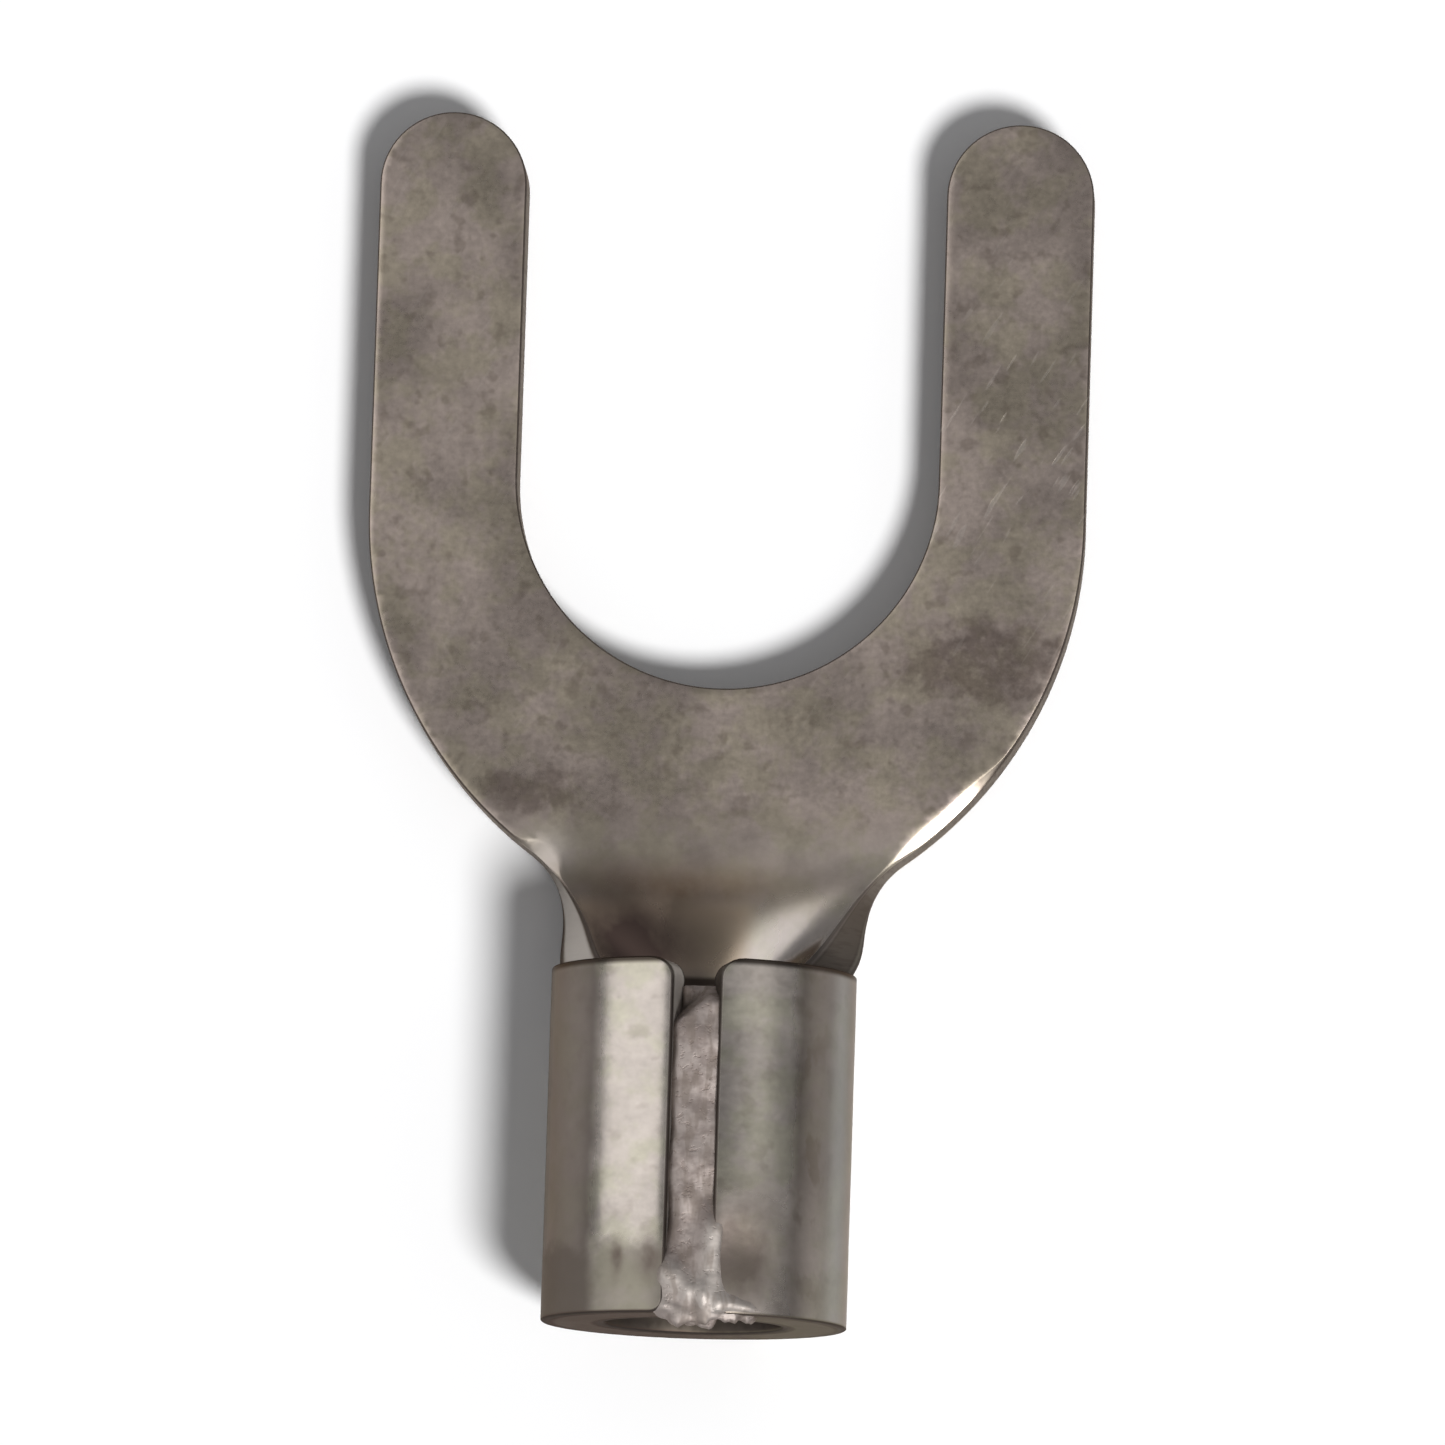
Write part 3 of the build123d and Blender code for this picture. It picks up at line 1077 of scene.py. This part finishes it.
def pitted_braze():
    """The finish of the braze."""
    material, bench, surface = new_finish("pitted_braze")
    place = flat_place(bench)
    height = bench.split(place)[2]
    lump = bench.fade(height, -(stock / 2 - 0.06), -(stock / 2 + 0.03))
    bore = bench.fade(height, 0.2, 0.3)
    patch = bench.fade(bench.noise(place, 0.25, detail=3.0, roughness=0.65), 0.4, 0.62)
    pit = bench.fade(bench.noise(place, 0.09, detail=3.0, roughness=0.7), 0.56, 0.68)
    streak = bench.noise(bench.stretch(place, (1.0, 0.22, 1.0)), 0.1)
    streak = bench.fade(streak, 0.46, 0.62)
    colour = bench.layered(
        bench.blend(patch, BRAZE_PINK, BRAZE_BROWN),
        (0.35 * pit, PIT_BROWN),
        (0.6 * lump, LUMP_GREY),
        (0.45 * streak, BRAZE_STREAK),
        (0.6 * bore, BRAZE_IN_BORE),
    )
    rough = 0.6 - 0.04 * lump + 0.1 * streak
    relief = bench.noise(place, 0.2) * 1.6 - 0.4 * pit
    bump = bench.add("ShaderNodeBump", None, {"Distance": BRAZE_RELIEF, "Height": relief})
    bench.feed(surface, {"Base Color": colour, "Roughness": rough, "Normal": bump})
    return material


braze_finish = pitted_braze()
print("braze finish:", len(braze_finish.node_tree.nodes), "nodes")

# %% [markdown]
# ## Fold the two pieces
# The braze goes through the tree without the sheet's unevenness, because its skin has its own
# waves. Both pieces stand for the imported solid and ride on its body.

# %% Make the pieces
terminal_sheet = fold("terminal_sheet", blank, sheet_finish)
seam_braze = fold("seam_braze", braze_skin, braze_finish, {"Unevenness": 0.0})
for piece in (terminal_sheet, seam_braze):
    print(piece.name, "has", len(piece.data.vertices), "points")
    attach(piece, "root")
    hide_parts("fork_terminal")

# %% [markdown]
# ## Camera
# The photo was taken from far away and almost straight down: both edges of each prong hardly show,
# and the front of the barrel stays just hidden. The camera's angles come from fitting the outline's
# known sizes to the photo, and its lens follows from the photo's pixels for each millimetre.

# %% Place the camera
IMAGE_SIDE = 1445
PIXELS_PER_MM = 79.86
CAMERA_DISTANCE = 170.0
SENSOR_WIDTH = 36.0
LEAN_RIGHT = math.radians(2.708)
LEAN_BACK = math.radians(-7.5)
CAMERA_ROLL = math.radians(-1.807)
CAMERA_AIM = Vector((0.033, -3.085, 0.8))

away = Vector((math.tan(LEAN_RIGHT), math.tan(LEAN_BACK), 1.0)).normalized()
level_right = away.cross(Vector((0, 1, 0))).normalized() * -1
level_up = away.cross(level_right).normalized()
view_right = level_right * math.cos(CAMERA_ROLL) - level_up * math.sin(CAMERA_ROLL)
view_up = level_right * math.sin(CAMERA_ROLL) + level_up * math.cos(CAMERA_ROLL)
camera_pose = Matrix((view_right, view_up, away)).transposed().to_4x4()
camera_pose.translation = (CAMERA_AIM + away * CAMERA_DISTANCE) * METRES

camera_data = bpy.data.cameras.new("camera")
camera_data.sensor_width = SENSOR_WIDTH
camera_data.lens = SENSOR_WIDTH * PIXELS_PER_MM * CAMERA_DISTANCE / IMAGE_SIDE
camera_data.clip_start = 0.01
camera_data.clip_end = 20.0
camera = placed("camera", camera_data)
camera.matrix_world = camera_pose
bpy.context.scene.camera = camera
print("lens in mm:", round(camera_data.lens, 1))

# %% [markdown]
# ## Floor, lamps and room
# One compact lamp from the lower right gives the tight shadow on the upper left of every edge, and
# a wide soft window on the left gives the broad bright band on the barrel. The room itself stays
# dim, so the flat tongue shows its own colour. The paper looks white to the camera and in
# reflections, and still keeps the shadow.

# %% Lay the floor
FLOOR_HALF = 1.5
PAPER_GLOW = 0.03
PAPER_COOL = (0.93, 0.93, 0.935, 1)
PAPER_WHITE = (0.96, 0.96, 0.96, 1)


def seen_or_mirrored(bench):
    """1 for rays from the camera and in sharp reflections, 0 for soft bounced light."""
    outputs = bench.add("ShaderNodeLightPath").socket.node.outputs
    kinds = ("Is Camera Ray", "Is Glossy Ray", "Is Transmission Ray")
    seen, mirrored, passed = [Reading(bench, outputs[kind]) for kind in kinds]
    return bench.clamp(seen + mirrored + passed)


def pale_paper():
    """White paper with a faint fibre and a small glow."""
    material = bpy.data.materials.new("pale_paper")
    material.use_nodes = True
    bench = Bench(material.node_tree)
    surface = material.node_tree.nodes["Principled BSDF"]
    object_place = bench.add("ShaderNodeTexCoord", None, None, out=3)
    fibre = bench.noise(object_place, 0.004, detail=3.0)
    colour = bench.blend(fibre, PAPER_COOL, PAPER_WHITE)
    glow = seen_or_mirrored(bench) * PAPER_GLOW
    bench.feed(surface, {"Base Color": colour, "Roughness": 0.9, "Specular IOR Level": 0.0})
    bench.feed(surface, {"Emission Color": (1, 1, 1, 1), "Emission Strength": glow})
    return material


floor_mesh = bpy.data.meshes.new("floor")
signs = [(-1, -1), (1, -1), (1, 1), (-1, 1)]
floor_corners = [(x * FLOOR_HALF, y * FLOOR_HALF, floor_z * METRES) for x, y in signs]
floor_mesh.from_pydata(floor_corners, [], [(0, 1, 2, 3)])
floor_mesh.materials.append(pale_paper())
floor = placed("floor", floor_mesh)
print("floor at", round(floor_z, 2), "mm")

# %% Hang the lamps
LAMP_DISTANCE = 0.5
LAMP_TARGET = Vector((0, -0.004, 0.001))
KEY_DIRECTION = Vector((0.41, -0.51, 1.0))
KEY_STRENGTH = 3.15
KEY_SPREAD = math.radians(14)
WINDOW_SIZE = (0.62, 0.53)
WINDOW_ELEVATION = math.radians(43.5)
WINDOW_RADIANCE = 1.25


def hang(lamp, direction):
    """Moves the lamp out in that direction and turns it to the part."""
    lamp.location = direction * LAMP_DISTANCE
    lamp.rotation_mode = "QUATERNION"
    lamp.rotation_quaternion = (LAMP_TARGET - lamp.location).to_track_quat("-Z", "Y")


key_data = bpy.data.lights.new("key", "SUN")
key_data.energy = KEY_STRENGTH
key_data.angle = KEY_SPREAD
key = placed("key", key_data)
hang(key, KEY_DIRECTION)

window_data = bpy.data.lights.new("window", "AREA")
window_data.shape = "RECTANGLE"
window_data.size, window_data.size_y = WINDOW_SIZE
window_data.energy = WINDOW_RADIANCE * math.pi * WINDOW_SIZE[0] * WINDOW_SIZE[1]
window = placed("window", window_data)
window.visible_camera = False
window.visible_diffuse = False
hang(window, Vector((-math.cos(WINDOW_ELEVATION), 0.0, math.sin(WINDOW_ELEVATION))))
print("lamps:", key.name, window.name)

# %% Close the room
ROOM_GREY = (0.3, 0.302, 0.31, 1)
WALL_PATCH_GREY = (0.78, 0.78, 0.78, 1)
WALL_PATCH = ((0.72, 0.68), (0.3, 0.22))
ROOM_LIGHT = 0.6
ROOM_SEEN = 0.4

world = bpy.data.worlds.new("room")
world.use_nodes = True
room_bench = Bench(world.node_tree)
background = world.node_tree.nodes["Background"]
direction_parts = room_bench.split(room_bench.add("ShaderNodeTexCoord", None, None, out=0))
wall_patch = room_bench.hill(direction_parts[0], direction_parts[2], *WALL_PATCH)
room_colour = room_bench.blend(wall_patch, ROOM_GREY, WALL_PATCH_GREY)
room_strength = ROOM_LIGHT + ROOM_SEEN * seen_or_mirrored(room_bench)
room_bench.feed(background, {"Color": room_colour, "Strength": room_strength})
bpy.context.scene.world = world
bpy.context.scene.view_settings.view_transform = "Standard"
print("the room is", len(world.node_tree.nodes), "nodes")
